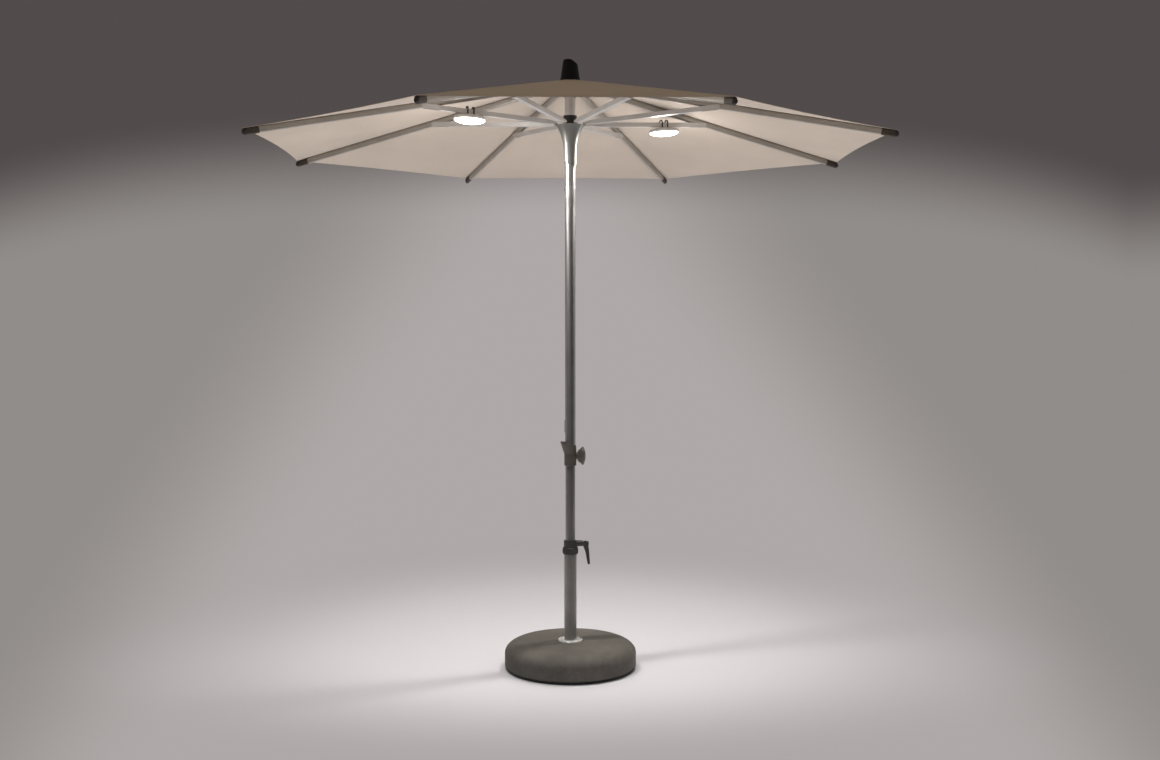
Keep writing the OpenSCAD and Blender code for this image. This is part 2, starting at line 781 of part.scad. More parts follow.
module lamp_diffuser(k)
    color([1, 0.97, 0.9])
    at_lamp(k) translate([0, 0, -lamp_h + 2])
        rotate_extrude()
            polygon(concat([[0, 0], [lamp_d / 2 - 3.2, 0]],
                [for (i = [0:12]) let (a = i * 7.5)
                    [(lamp_d / 2 - 3.2) * cos(a), -3 - (dome_h - 1) * sin(a)]]));

// two hooks that go over the strut
module lamp_clips(k) {
    inner = strut_w / 2 + 0.4;
    outer = inner + 2.2;
    rise = -lamp_top + strut_h / 2;      // top of the strut over the lamp's top
    color([0.12, 0.12, 0.12])
    at_lamp(k)
        for (s = [-1, 1])
            along_x((s * hook_gap - hook_w) / 2, (s * hook_gap + hook_w) / 2)
                difference() {
                    union() {
                        translate([-outer, 0]) square([2 * outer, rise]);
                        translate([0, rise]) circle(r = outer, $fn = 48);
                    }
                    translate([-inner, 0.8]) square([2 * inner, rise - 0.8]);
                    translate([0, rise]) circle(r = inner, $fn = 48);
                }
}

// ---- the whole light ----

base_slab();
base_mat();
base_flange();
flange_screws();
socket_tube();
clamp_body();
clamp_lever();
lower_pole();
upper_tube();
height_collar();
height_knob();
spring_catch();
tilt_lower();
tilt_pin();
tilt_upper();
tilt_button();
top_tube();
crown_hub();
crown_pins();
finial();
runner_funnel();
runner_bush();
for (k = [1:N]) {
    rib(k);
    rib_trim(k);
    canopy(k);
    strut(k);
}
lamp_housing(1);  // lamp_housing_right
lamp_housing(5);  // lamp_housing_left
lamp_diffuser(1);  // lamp_diffuser_right
lamp_diffuser(5);  // lamp_diffuser_left
lamp_clips(1);  // lamp_clips_right
lamp_clips(5);  // lamp_clips_left
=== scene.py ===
# %% [markdown]
# # A patio umbrella with two clip-on lamps
#
# This lesson dresses a finished construction of a round patio umbrella. The
# frame that we load holds every rigid piece at its real size and place: base,
# pole, tilt joint, ribs, struts, runner and lamps. Blender adds what a
# construction lacks, which is finish: rough concrete, drawn aluminium, moulded
# plastic, glowing diffusers and, above all, the sewn canopy.

# %% The frame
import json
import math

import bmesh
import bpy
from mathutils import Matrix, Vector


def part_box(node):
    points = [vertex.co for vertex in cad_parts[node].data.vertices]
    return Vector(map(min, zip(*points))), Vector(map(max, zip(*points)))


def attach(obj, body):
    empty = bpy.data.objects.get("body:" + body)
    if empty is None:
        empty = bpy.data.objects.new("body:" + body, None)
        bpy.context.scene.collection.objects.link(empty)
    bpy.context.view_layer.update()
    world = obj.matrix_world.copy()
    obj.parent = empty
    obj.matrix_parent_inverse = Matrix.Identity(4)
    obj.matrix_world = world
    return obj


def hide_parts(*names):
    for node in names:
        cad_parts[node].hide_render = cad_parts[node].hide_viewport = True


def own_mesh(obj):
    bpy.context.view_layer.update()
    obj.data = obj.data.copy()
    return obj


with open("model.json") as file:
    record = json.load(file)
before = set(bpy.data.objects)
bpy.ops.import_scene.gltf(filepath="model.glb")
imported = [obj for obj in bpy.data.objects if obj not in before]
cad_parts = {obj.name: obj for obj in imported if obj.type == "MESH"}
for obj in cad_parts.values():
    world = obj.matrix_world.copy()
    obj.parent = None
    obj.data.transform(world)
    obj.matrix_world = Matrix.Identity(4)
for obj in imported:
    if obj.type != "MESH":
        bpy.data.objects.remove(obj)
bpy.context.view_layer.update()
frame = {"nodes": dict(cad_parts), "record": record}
nodes = frame["nodes"]

# %% [markdown]
# ## Camera
#
# The photograph was taken from a little over waist height, almost level, about
# five metres away. Distance, height and focal length come from the canopy's
# eight corners and the base's outline: only one camera sees all of them where
# the photograph shows them. The pole stands slightly left of the middle, so the
# camera is turned, not shifted.

# %% The camera
CAMERA_DISTANCE = 4.9633
CAMERA_HEIGHT = 1.3979
CAMERA_FOCUS = 1264.83              # focal length in pixels of a 1160 pixel frame
CAMERA_DOWN = 0.0519                # this and the next three are angles in radians
CAMERA_ASIDE = 0.0077
CAMERA_ROLL = -0.0002
UMBRELLA_TURN = 0.016               # how far the umbrella is turned on the spot
FRAME_WIDTH = 1160

camera_data = bpy.data.cameras.new("camera")
camera = bpy.data.objects.new("camera", camera_data)
bpy.context.scene.collection.objects.link(camera)
camera_data.sensor_fit = "HORIZONTAL"
camera_data.sensor_width = 36.0
camera_data.lens = CAMERA_FOCUS / FRAME_WIDTH * 36.0
camera_data.clip_end = 200.0
stand = Matrix.Rotation(-UMBRELLA_TURN, 4, "Z")
camera.matrix_world = (
    stand
    @ Matrix.Translation((0.0, -CAMERA_DISTANCE, CAMERA_HEIGHT))
    @ Matrix.Rotation(-CAMERA_ASIDE, 4, "Z")
    @ Matrix.Rotation(math.pi / 2 - CAMERA_DOWN, 4, "X")
    @ Matrix.Rotation(CAMERA_ROLL, 4, "Z")
)
bpy.context.scene.camera = camera
print("camera with a lens of", round(camera_data.lens, 2), "mm")

# %% [markdown]
# ## Floor, backdrop and light
#
# The studio is a pale floor with a pool of light round the base, and a plain
# grey backdrop that is dark overhead and glows a little behind the pole. A real
# studio sweeps one sheet of paper up the wall to hide the corner. Here the floor
# fades into the very colour that the sky has at the horizon, so no line shows.
#
# What lights the umbrella is separate: the two lamps themselves, a few soft
# studio lamps and a faint even sky, so that colours render about as written.


# %% Node helpers
def new_material(name):
    """An empty node material and its node tree."""
    made = bpy.data.materials.new(name)
    made.use_nodes = True
    made.node_tree.nodes.clear()
    return made, made.node_tree


def add(tree, kind, **settings):
    """Adds a node and sets its options."""
    node = tree.nodes.new(kind)
    for key, value in settings.items():
        setattr(node, key, value)
    return node


def ramp(tree, source, stops):
    """Turns a number into a colour. stops is [(place, grey or colour), ...]."""
    node = add(tree, "ShaderNodeValToRGB")
    band = node.color_ramp
    while len(band.elements) < len(stops):
        band.elements.new(0.5)
    for element, (place, value) in zip(band.elements, stops):
        element.position = place
        colour = (value,) * 3 if isinstance(value, (int, float)) else value
        element.color = (*colour, 1.0)
    tree.links.new(source, node.inputs["Fac"])
    return node.outputs["Color"]


def maths(tree, operation, a, b=0.0, clamp=False):
    """One Math node. a and b are sockets or numbers."""
    node = add(tree, "ShaderNodeMath", operation=operation, use_clamp=clamp)
    for place, value in ((0, a), (1, b)):
        if isinstance(value, (int, float)):
            node.inputs[place].default_value = value
        else:
            tree.links.new(value, node.inputs[place])
    return node.outputs[0]


print("helpers ready")

# %% More node helpers
def smooth(tree, value, low, high):
    """0 at low, 1 at high, with a soft start and end."""
    node = add(tree, "ShaderNodeMapRange", interpolation_type="SMOOTHSTEP")
    node.inputs["From Min"].default_value = low
    node.inputs["From Max"].default_value = high
    tree.links.new(value, node.inputs["Value"])
    return node.outputs["Result"]


def blend_colours(tree, share, first, second):
    """Mixes two colours. Each is a colour or a socket."""
    node = add(tree, "ShaderNodeMix", data_type="RGBA")
    tree.links.new(share, node.inputs["Factor"])
    for place, value in (("A", first), ("B", second)):
        if isinstance(value, tuple):
            node.inputs[place].default_value = (*value, 1.0)
        else:
            tree.links.new(value, node.inputs[place])
    return node.outputs["Result"]


def split_vector(tree, vector):
    """The three numbers of a vector."""
    node = add(tree, "ShaderNodeSeparateXYZ")
    tree.links.new(vector, node.inputs[0])
    return node.outputs["X"], node.outputs["Y"], node.outputs["Z"]


print("more helpers ready")

# %% [markdown]
# ## Who sees the backdrop
#
# The camera has to see the backdrop, and so does polished metal, which mirrors
# the room. The light that falls on the umbrella must not come from it, though,
# or a paler backdrop would bleach the colours. Light Path tells these rays
# apart. The front of a studio is dark, so mirrored rays see less of it there.

# %% Light Path
DARK_ROOM = 0.20                         # share of the backdrop that lies in front
ROOM_TURNS = (-0.35, 0.25)               # where dark front turns into bright back


def seen_share(tree, forward):
    """Two shares: which rays see the backdrop at all, and how strongly.
    forward is negative in front of the umbrella and positive behind it."""
    paths = add(tree, "ShaderNodeLightPath")
    room = add(tree, "ShaderNodeMapRange", interpolation_type="SMOOTHSTEP")
    room.inputs["From Min"].default_value = ROOM_TURNS[0]
    room.inputs["From Max"].default_value = ROOM_TURNS[1]
    room.inputs["To Min"].default_value = DARK_ROOM
    tree.links.new(forward, room.inputs["Value"])
    plain = maths(tree, "ADD", paths.outputs["Is Camera Ray"],
                  paths.outputs["Is Transmission Ray"], clamp=True)
    gloss = maths(tree, "SUBTRACT", paths.outputs["Is Glossy Ray"], plain, clamp=True)
    return (maths(tree, "ADD", plain, gloss, clamp=True),
            maths(tree, "ADD", plain, maths(tree, "MULTIPLY", gloss, room.outputs["Result"])))


print("mirrored rays see", DARK_ROOM, "of the backdrop at the front")

# %% The backdrop's colours
FLOOR_PALE = (0.659, 0.654, 0.689)
BACKDROP = (0.283, 0.266, 0.254)
BACKDROP_GLOW = (0.429, 0.392, 0.392)
BACKDROP_TOP = (0.084, 0.071, 0.071)
GLOW_EDGE = (-0.27, -0.07)               # how far aside the glow ends and starts
GLOW_NARROWS = 0.75                      # and how much narrower it gets further up


def glow_share(tree, slant, rise):
    """The glow behind the pole: wide below, narrow above. slant is the way
    sideways and rise the way up, both for one step back."""
    edge = maths(tree, "ADD", slant, maths(tree, "MULTIPLY", rise, GLOW_NARROWS))
    return smooth(tree, maths(tree, "MULTIPLY", edge, -1.0), *GLOW_EDGE)


print("backdrop", BACKDROP, "with a glow of", BACKDROP_GLOW)

# %% The floor
POOL = (1.80, 1.14, 2.2)                 # reach of the pool of light: side, front, back
POOL_MIDDLE = 0.3                        # its middle, behind the pole
POOL_FADE = (0.45, 1.25)                 # shares of the reach where it fades and ends
FAN = (5.0, 1.4)                         # the glow fans out from a point this far in front and up
FLOOR_TURN = 6.0                         # brings metres on the floor to the sky's -1 to 1
FLOOR_RADIUS = 90.0
FLOOR_DROP = 0.0006                      # keeps the floor just under the mat


def floor_finish():
    """Paper that is real inside the pool of light and fades to the backdrop."""
    made, tree = new_material("studio_floor")
    x, y, _ = split_vector(tree, add(tree, "ShaderNodeTexCoord").outputs["Object"])
    away = maths(tree, "SUBTRACT", y, POOL_MIDDLE)
    long = maths(tree, "MAXIMUM", maths(tree, "DIVIDE", away, POOL[2]),
                 maths(tree, "DIVIDE", away, -POOL[1]))
    wide = maths(tree, "DIVIDE", x, POOL[0])
    reach = maths(tree, "SQRT", maths(tree, "ADD", maths(tree, "MULTIPLY", wide, wide),
                                      maths(tree, "MULTIPLY", long, long)))
    back = maths(tree, "MAXIMUM", maths(tree, "ADD", y, FAN[0]), 0.01)
    slant = maths(tree, "DIVIDE", maths(tree, "ABSOLUTE", x), back)
    glow = glow_share(tree, slant, maths(tree, "DIVIDE", -FAN[1], back))
    surface = add(tree, "ShaderNodeBsdfPrincipled")
    surface.inputs["Base Color"].default_value = (*FLOOR_PALE, 1.0)
    surface.inputs["Roughness"].default_value = 0.8
    surface.inputs["Specular IOR Level"].default_value = 0.1
    far = add(tree, "ShaderNodeEmission")
    tree.links.new(blend_colours(tree, glow, BACKDROP, BACKDROP_GLOW), far.inputs["Color"])
    shown, strength = seen_share(tree, maths(tree, "DIVIDE", y, FLOOR_TURN))
    tree.links.new(strength, far.inputs["Strength"])
    mixed = add(tree, "ShaderNodeMixShader")
    tree.links.new(maths(tree, "MULTIPLY", shown, smooth(tree, reach, *POOL_FADE)),
                   mixed.inputs["Fac"])
    tree.links.new(surface.outputs[0], mixed.inputs[1])
    tree.links.new(far.outputs[0], mixed.inputs[2])
    output = add(tree, "ShaderNodeOutputMaterial")
    tree.links.new(mixed.outputs[0], output.inputs["Surface"])
    return made


floor_mesh = bpy.data.meshes.new("floor")
floor_shape = bmesh.new()
bmesh.ops.create_circle(floor_shape, cap_ends=True, radius=FLOOR_RADIUS, segments=96)
floor_shape.to_mesh(floor_mesh)
floor_shape.free()
floor = bpy.data.objects.new("floor", floor_mesh)
bpy.context.scene.collection.objects.link(floor)
floor.location.z = -FLOOR_DROP
floor_mesh.materials.append(floor_finish())
print("a floor with a pool of light", 2 * POOL[0], "m wide")

# %% The sky
SKY_LIGHT = 0.30
DARK_TOP = (0.075, 0.16)                 # rises where the dark top starts and is full
SIDE_MOST = 0.46                         # slant at which the dark top reaches lowest
SIDE_DROP = 0.56                         # how strongly it comes down towards the sides


def sky_finish():
    """The backdrop above the floor's edge, and an even light that isn't seen."""
    world = bpy.data.worlds.new("studio")
    bpy.context.scene.world = world
    world.use_nodes = True
    tree = world.node_tree
    tree.nodes.clear()
    x, y, z = split_vector(tree, add(tree, "ShaderNodeTexCoord").outputs["Generated"])
    level = maths(tree, "SQRT", maths(tree, "ADD", maths(tree, "MULTIPLY", x, x),
                                      maths(tree, "MULTIPLY", y, y)))
    rise = maths(tree, "DIVIDE", z, maths(tree, "MAXIMUM", level, 0.001))
    slant = maths(tree, "DIVIDE", maths(tree, "ABSOLUTE", x), maths(tree, "MAXIMUM", y, 0.001))
    # the dark top reaches lower at the sides
    aside = maths(tree, "POWER", maths(tree, "MINIMUM", slant, SIDE_MOST), 3.0)
    over = maths(tree, "ADD", rise, maths(tree, "MULTIPLY", aside, SIDE_DROP))
    low = blend_colours(tree, glow_share(tree, slant, rise), BACKDROP, BACKDROP_GLOW)
    seen = add(tree, "ShaderNodeBackground")
    tree.links.new(blend_colours(tree, smooth(tree, over, *DARK_TOP), low, BACKDROP_TOP),
                   seen.inputs["Color"])
    shown, strength = seen_share(tree, y)
    tree.links.new(strength, seen.inputs["Strength"])
    lighting = add(tree, "ShaderNodeBackground")
    lighting.inputs["Color"].default_value = (1.0, 0.985, 0.965, 1.0)
    lighting.inputs["Strength"].default_value = SKY_LIGHT
    chosen = add(tree, "ShaderNodeMixShader")
    tree.links.new(shown, chosen.inputs["Fac"])
    tree.links.new(lighting.outputs[0], chosen.inputs[1])
    tree.links.new(seen.outputs[0], chosen.inputs[2])
    output = add(tree, "ShaderNodeOutputWorld")
    tree.links.new(chosen.outputs[0], output.inputs["Surface"])


sky_finish()
print("a sky of", SKY_LIGHT)

# %% [markdown]
# ## Soft lamps
#
# Four large lamps stand round the umbrella: one on either side of the camera,
# one high behind it that warms the top of the cloth, and one low that stands in
# for the light that the pale floor throws up under the canopy. Large lamps give
# soft shadows. They are hidden from mirrored rays, because a round pole would
# show each of them as a hard white stripe.

# %% The studio lamps
SOFT_WHITE = (1.0, 0.97, 0.93)
WARM_WHITE = (1.0, 0.91, 0.80)


def link_lamp(name, data, place, power, colour=SOFT_WHITE):
    """Puts a light of so many watts in its place, out of the camera's sight."""
    data.energy = power
    data.color = colour
    lamp = bpy.data.objects.new(name, data)
    bpy.context.scene.collection.objects.link(lamp)
    lamp.location = place
    lamp.visible_camera = False
    return lamp


def studio_lamp(name, place, target, size, power, colour=SOFT_WHITE):
    """A large soft lamp that faces its target."""
    data = bpy.data.lights.new(name, "AREA")
    data.shape = "RECTANGLE"
    data.size, data.size_y = size
    lamp = link_lamp(name, data, place, power, colour)
    lamp.visible_glossy = False          # no bright panels mirrored in the pole
    lamp.rotation_euler = (Vector(target) - Vector(place)).to_track_quat("-Z", "Y").to_euler()


studio_lamp("key_left", (-3.8, -3.2, 2.4), (0.0, 0.0, 1.2), (2.0, 3.0), 13)
studio_lamp("fill_right", (3.8, -2.6, 2.0), (0.0, 0.0, 1.1), (1.6, 2.8), 9)
studio_lamp("back_top", (0.0, 3.4, 3.8), (0.0, 0.0, 1.6), (3.0, 1.6), 44, WARM_WHITE)
studio_lamp("from_floor", (0.0, -0.3, 0.25), (0.0, 0.0, 2.3), (2.6, 2.2), 44)
print("four studio lamps")

# %% [markdown]
# ## The light of the umbrella's own lamps
#
# A glowing surface alone lights a scene with a lot of noise. So each dome gets
# two helpers: a disc just under it that throws the pool of light on the floor,
# and a small ball of light that brightens the cloth and the struts around it.
# They ride with the strut, so the light folds away with the lamp.

# %% Two helpers to each lamp
LAMP_DOWN = 17.0
LAMP_AROUND = 1.6
DISC = 0.11                              # diameter of the disc of light
DISC_DROP = 0.002                        # its distance under the dome
BALL = 0.04                              # radius of the ball of light
BALL_DROP = 0.05                         # its distance under the dome

for side, carrier in (("right", "strut_body_1"), ("left", "strut_body_5")):
    low_corner, high_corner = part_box(f"lamp_diffuser_{side}")
    middle = [(a + b) / 2 for a, b in zip(low_corner, high_corner)]
    disc = bpy.data.lights.new(f"lamp_{side}_down", "AREA")
    disc.shape = "DISK"
    disc.size = DISC
    under = (middle[0], middle[1], low_corner[2] - DISC_DROP)
    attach(link_lamp(disc.name, disc, under, LAMP_DOWN), carrier)
    ball = bpy.data.lights.new(f"lamp_{side}_around", "POINT")
    ball.shadow_soft_size = BALL
    under = (middle[0], middle[1], low_corner[2] - BALL_DROP)
    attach(link_lamp(ball.name, ball, under, LAMP_AROUND), carrier)
    print("lamp", side, "shines from", [round(v, 3) for v in middle])

# %% [markdown]
# ## Finishes
#
# Each finish is a small node tree on the object's own coordinates, so it keeps
# its scale in metres. First come values that all the finishes share.


# %% Finish helpers
def coordinates(tree, scale=(1.0, 1.0, 1.0)):
    """The object's own coordinates in metres, stretched by scale."""
    place = add(tree, "ShaderNodeTexCoord").outputs["Object"]
    mapping = add(tree, "ShaderNodeMapping")
    mapping.inputs["Scale"].default_value = scale
    tree.links.new(place, mapping.inputs["Vector"])
    return mapping.outputs["Vector"]


def noise(tree, vector, scale, detail=3.0, roughness=0.55):
    """Cloudy noise. scale is roughly how many clouds go to a metre."""
    node = add(tree, "ShaderNodeTexNoise")
    node.inputs["Scale"].default_value = scale
    node.inputs["Detail"].default_value = detail
    node.inputs["Roughness"].default_value = roughness
    tree.links.new(vector, node.inputs["Vector"])
    return node.outputs["Fac"]


def finish_with(tree, surface, bump=None, strength=0.3, distance=0.001):
    """Joins a height to the shader's normal, and the shader to the output."""
    if bump is not None:
        node = add(tree, "ShaderNodeBump")
        node.inputs["Strength"].default_value = strength
        node.inputs["Distance"].default_value = distance
        tree.links.new(bump, node.inputs["Height"])
        tree.links.new(node.outputs[0], surface.inputs["Normal"])
    output = add(tree, "ShaderNodeOutputMaterial")
    tree.links.new(surface.outputs[0], output.inputs["Surface"])


def dress(material, *names):
    """Gives CAD nodes a finish in place of their plain one."""
    for name in names:
        mesh = nodes[name].data
        mesh.materials.clear()
        mesh.materials.append(material)


print("finish helpers ready")


# %% [markdown]
# ## Metal
#
# The pole is drawn through a die, which leaves fine lines along it, so a
# highlight on it runs up and down the tube. The ribs and struts are anodised
# matt, and the tilt joint is cast. One function makes them all from a colour, a
# roughness and a few settings, and noise makes both a little uneven.

# %% Metal
def metal(name, colour, roughness, streaks=(60.0, 60.0, 1.2), tint=0.06, drawn=0.0,
          bump=0.0, bare=1.0):
    """Aluminium or steel: fine lines along the draw, faint cloudiness. drawn
    stretches a tube's highlight along the tube, bump is a depth in metres, and
    bare is under 1 where the skin also scatters light, as anodising and paint do."""
    made, tree = new_material(name)
    lines = noise(tree, coordinates(tree, streaks), 24.0, 3.0)
    cloud = noise(tree, coordinates(tree), 14.0, 4.0)
    surface = add(tree, "ShaderNodeBsdfPrincipled")
    surface.inputs["Metallic"].default_value = bare
    low = tuple(c * (1.0 - tint) for c in colour)
    high = tuple(min(1.0, c * (1.0 + tint)) for c in colour)
    tree.links.new(ramp(tree, cloud, [(0.3, low), (0.7, high)]), surface.inputs["Base Color"])
    rough = ramp(tree, lines, [(0.25, roughness * 0.85), (0.75, min(1.0, roughness * 1.15))])
    tree.links.new(rough, surface.inputs["Roughness"])
    if drawn:
        surface.inputs["Anisotropic"].default_value = drawn
        surface.inputs["Anisotropic Rotation"].default_value = 0.25
        around = add(tree, "ShaderNodeTangent", direction_type="RADIAL", axis="Z")
        tree.links.new(around.outputs[0], surface.inputs["Tangent"])
    finish_with(tree, surface, lines if bump else None, 0.5, bump)
    return made


print("metal ready")

# %% [markdown]
# ## Plastic
#
# The moulds for such dark fittings are spark-eroded, and their fine grain makes
# the plastic satin instead of shiny. A bump of a few hundredths of a millimetre
# is enough.

# %% Plastic
def plastic(name, colour, roughness=0.45, grain=900.0, depth=0.00004):
    """Moulded plastic with a fine spark-eroded grain."""
    made, tree = new_material(name)
    fine = noise(tree, coordinates(tree), grain, 2.0)
    cloud = noise(tree, coordinates(tree), 18.0, 3.0)
    surface = add(tree, "ShaderNodeBsdfPrincipled")
    low = tuple(c * 0.85 for c in colour)
    high = tuple(min(1.0, c * 1.2) for c in colour)
    tree.links.new(ramp(tree, cloud, [(0.3, low), (0.7, high)]), surface.inputs["Base Color"])
    rough = ramp(tree, fine, [(0.3, roughness * 0.85), (0.7, roughness * 1.15)])
    tree.links.new(rough, surface.inputs["Roughness"])
    finish_with(tree, surface, fine, 0.35, depth)
    return made


print("plastic ready")

# %% [markdown]
# ## Concrete
#
# The base is cast in a mould. Air that stays against the mould leaves pits, and
# water leaves cloudy patches. Cells of a Voronoi texture make the pits, and a
# noise keeps most of the cells closed, so that pits stay rare.

# %% Concrete
def concrete_finish():
    """Cast concrete: cloudy grey-brown, pits, and sand in the surface."""
    made, tree = new_material("concrete")
    place = coordinates(tree)
    cloud = noise(tree, place, 5.0, 5.0)
    patches = noise(tree, place, 26.0, 5.0, 0.65)
    sand = noise(tree, place, 520.0, 3.0)
    pits = add(tree, "ShaderNodeTexVoronoi", feature="F1")
    pits.inputs["Scale"].default_value = 62.0
    tree.links.new(place, pits.inputs["Vector"])
    hollow = ramp(tree, pits.outputs["Distance"], [(0.10, 0.0), (0.2, 1.0)])
    rare = ramp(tree, noise(tree, place, 33.0, 2.0), [(0.54, 1.0), (0.62, 0.0)])
    holes = maths(tree, "MAXIMUM", hollow, rare)
    base = ramp(tree, maths(tree, "ADD", maths(tree, "MULTIPLY", cloud, 0.55),
                            maths(tree, "MULTIPLY", patches, 0.45)),
                [(0.32, (0.078, 0.071, 0.063)), (0.5, (0.108, 0.099, 0.088)),
                 (0.68, (0.15, 0.138, 0.122))])
    mixed = add(tree, "ShaderNodeMix", data_type="RGBA", blend_type="MULTIPLY")
    mixed.inputs["Factor"].default_value = 1.0
    tree.links.new(base, mixed.inputs["A"])
    # painted shade: the colour is darkened inside the pits, as shade falls in them
    shade = ramp(tree, holes, [(0.0, 0.45), (1.0, 1.0)])
    tree.links.new(shade, mixed.inputs["B"])
    surface = add(tree, "ShaderNodeBsdfPrincipled")
    surface.inputs["Specular IOR Level"].default_value = 0.3
    tree.links.new(mixed.outputs["Result"], surface.inputs["Base Color"])
    tree.links.new(ramp(tree, patches, [(0.3, 0.72), (0.7, 0.9)]), surface.inputs["Roughness"])
    height = maths(tree, "ADD", maths(tree, "MULTIPLY", holes, 1.2),
                   maths(tree, "ADD", maths(tree, "MULTIPLY", sand, 0.25),
                         maths(tree, "MULTIPLY", patches, 0.5)))
    finish_with(tree, surface, height, 0.8, 0.0012)
    return made


CONCRETE = concrete_finish()
print("concrete ready")

# %% The umbrella's finishes
ALUMINIUM_BRIGHT = metal("polished_aluminium", (0.58, 0.58, 0.59), 0.36, drawn=0.45)
ALUMINIUM_GREY = metal("plain_aluminium", (0.44, 0.43, 0.43), 0.42, drawn=0.5)
GROUND = (10.0, 10.0, 10.0)              # no drawn lines: the same in all directions
ALUMINIUM_CAST = metal("cast_aluminium", (0.68, 0.68, 0.69), 0.34, GROUND, bump=0.00003)
ALUMINIUM_RIB = metal("rib_aluminium", (0.42, 0.395, 0.36), 0.42, GROUND, bare=0.7)
ALUMINIUM_STRUT = metal("strut_aluminium", (0.56, 0.555, 0.55), 0.40, GROUND, bare=0.6)
GALVANISED = metal("galvanised_steel", (0.46, 0.455, 0.44), 0.58, (6.0, 6.0, 2.0), 0.12,
                   bump=0.00006)
CHROMED = metal("bright_steel", (0.86, 0.86, 0.85), 0.28, GROUND, bare=0.4)
FUNNEL_GREY = metal("funnel_grey", (0.21, 0.208, 0.20), 0.46, GROUND, drawn=0.4, bare=0.6)
BLACK = plastic("black_plastic", (0.012, 0.011, 0.011), 0.5)
BRONZE = plastic("bronze_plastic", (0.036, 0.031, 0.027), 0.36)
BROWN = plastic("brown_plastic", (0.040, 0.030, 0.024), 0.48)
LAMP_GREY = plastic("lamp_grey", (0.55, 0.545, 0.54), 0.40)
RUBBER = plastic("mat_rubber", (0.010, 0.010, 0.010), 0.75, 500.0, 0.0001)
print(len(bpy.data.materials), "materials so far")

# %% Who wears what
dress(CONCRETE, "base_slab")
dress(RUBBER, "base_mat")
dress(CHROMED, "base_flange", "flange_screws", "crown_pins")
dress(GALVANISED, "socket_tube")
dress(BLACK, "clamp_body", "clamp_lever", "spring_catch", "tilt_button", "crown_hub",
      "finial", "runner_bush", "lamp_clips_right", "lamp_clips_left")
dress(BRONZE, "height_collar", "height_knob")
dress(ALUMINIUM_GREY, "lower_pole")
dress(ALUMINIUM_BRIGHT, "upper_tube", "top_tube")
dress(ALUMINIUM_CAST, "tilt_lower", "tilt_pin", "tilt_upper")
dress(FUNNEL_GREY, "runner_funnel")
dress(LAMP_GREY, "lamp_housing_right", "lamp_housing_left")
RIBS = range(1, 9)
for k in RIBS:
    dress(ALUMINIUM_RIB, f"rib_{k}")
    dress(BROWN, f"rib_trim_{k}")
    dress(ALUMINIUM_STRUT, f"strut_{k}")
print("dressed", sum(bool(part.data.materials) for part in nodes.values()), "nodes")

# %% [markdown]
# ## The canopy
#
# Eight triangles of acrylic cloth are sewn together along the ribs and pulled
# tight by the rib tips. Between two tips the edge draws in, as the edge of any
# stretched cloth does, and each triangle is very nearly flat. I build the cloth
# row by row from the middle outwards: a cloth simulation would only find this
# same tight surface, and it would take longer to hold it to the ribs.
#
# The light also folds. Then the cloth between two ribs narrows, so the canopy is made of a seam band
# on each rib, which only turns with it, and a side panel on either side of the band, which rides on
# the same rib.

# %% The canopy's lines
rib_joint = next(joint for joint in frame["record"]["behaviour"]["joints"]
                 if joint["name"] == "rib_1_fold")
rib_pivot = rib_joint["pos_m"]
HALF = math.pi / len(RIBS)               # from a rib to the middle of a triangle
CROWN_Z = rib_pivot[2]                   # height of the ribs' pivots
CROWN_R = round(math.hypot(rib_pivot[0], rib_pivot[1]), 4)
SLOPE = math.radians(11.8)
RIB_TOP = 0.0123                         # from a rib's pivot to the cloth over it
APEX_Z = CROWN_Z + CROWN_R * math.tan(SLOPE) + RIB_TOP / math.cos(SLOPE)
CLOTH_IN = 0.0250                        # where the cloth starts, inside the finial
CLOTH_OUT = 1.246 * math.cos(HALF)       # and where it ends, halfway between two ribs
EDGE_DRAW = 0.020                        # how far the middle of an edge draws in
BELLY = 0.0045                           # how far a triangle sags between its ribs
BELLY_PLACE = 1.4                        # over 1 moves the deepest sag outwards
DROOP = 0.0042                           # how far the middle of an edge hangs lower
DROOP_PLACE = 6                          # a high power keeps the droop to the edge
BAND = 0.0152                            # half the width of a seam band
BAND_WIDTH = BAND / math.cos(HALF)
EDGE_WIDTH = (CLOTH_OUT - EDGE_DRAW) * math.tan(HALF)


def rib_azimuth(k):
    """The way that rib k points, seen from above."""
    return HALF + (k - 1) * 2 * HALF


def edge_reach(width):
    """How far the cloth reaches, at a place along its edge. width is 0 at the rib."""
    across = min(1.0, abs(width) / EDGE_WIDTH)
    return CLOTH_OUT - EDGE_DRAW * (1.0 - (1.0 - across) ** 2)


def cloth_point(k, side, reach, width, lift):
    """A point of the cloth beside rib k. reach runs along the middle of the
    triangle, and width runs from the rib towards that middle."""
    x = reach / math.cos(HALF) - math.sin(HALF) * width
    y = side * math.cos(HALF) * width
    across = min(1.0, width / (reach * math.tan(HALF)))
    along = min(1.0, reach / CLOTH_OUT)
    belly = BELLY * (1.0 - (1.0 - across) ** 2) * math.sin(math.pi * along ** BELLY_PLACE)
    droop = DROOP * (1.0 - (1.0 - across) ** 2) * along ** DROOP_PLACE
    z = APEX_Z - math.tan(SLOPE) / math.cos(HALF) * reach - belly - droop + lift
    a = rib_azimuth(k)
    return Vector((x * math.cos(a) - y * math.sin(a), x * math.sin(a) + y * math.cos(a), z))


print("ribs turn", CROWN_R, "m from the pole's axis; an edge is", round(2 * EDGE_WIDTH, 3), "m long")

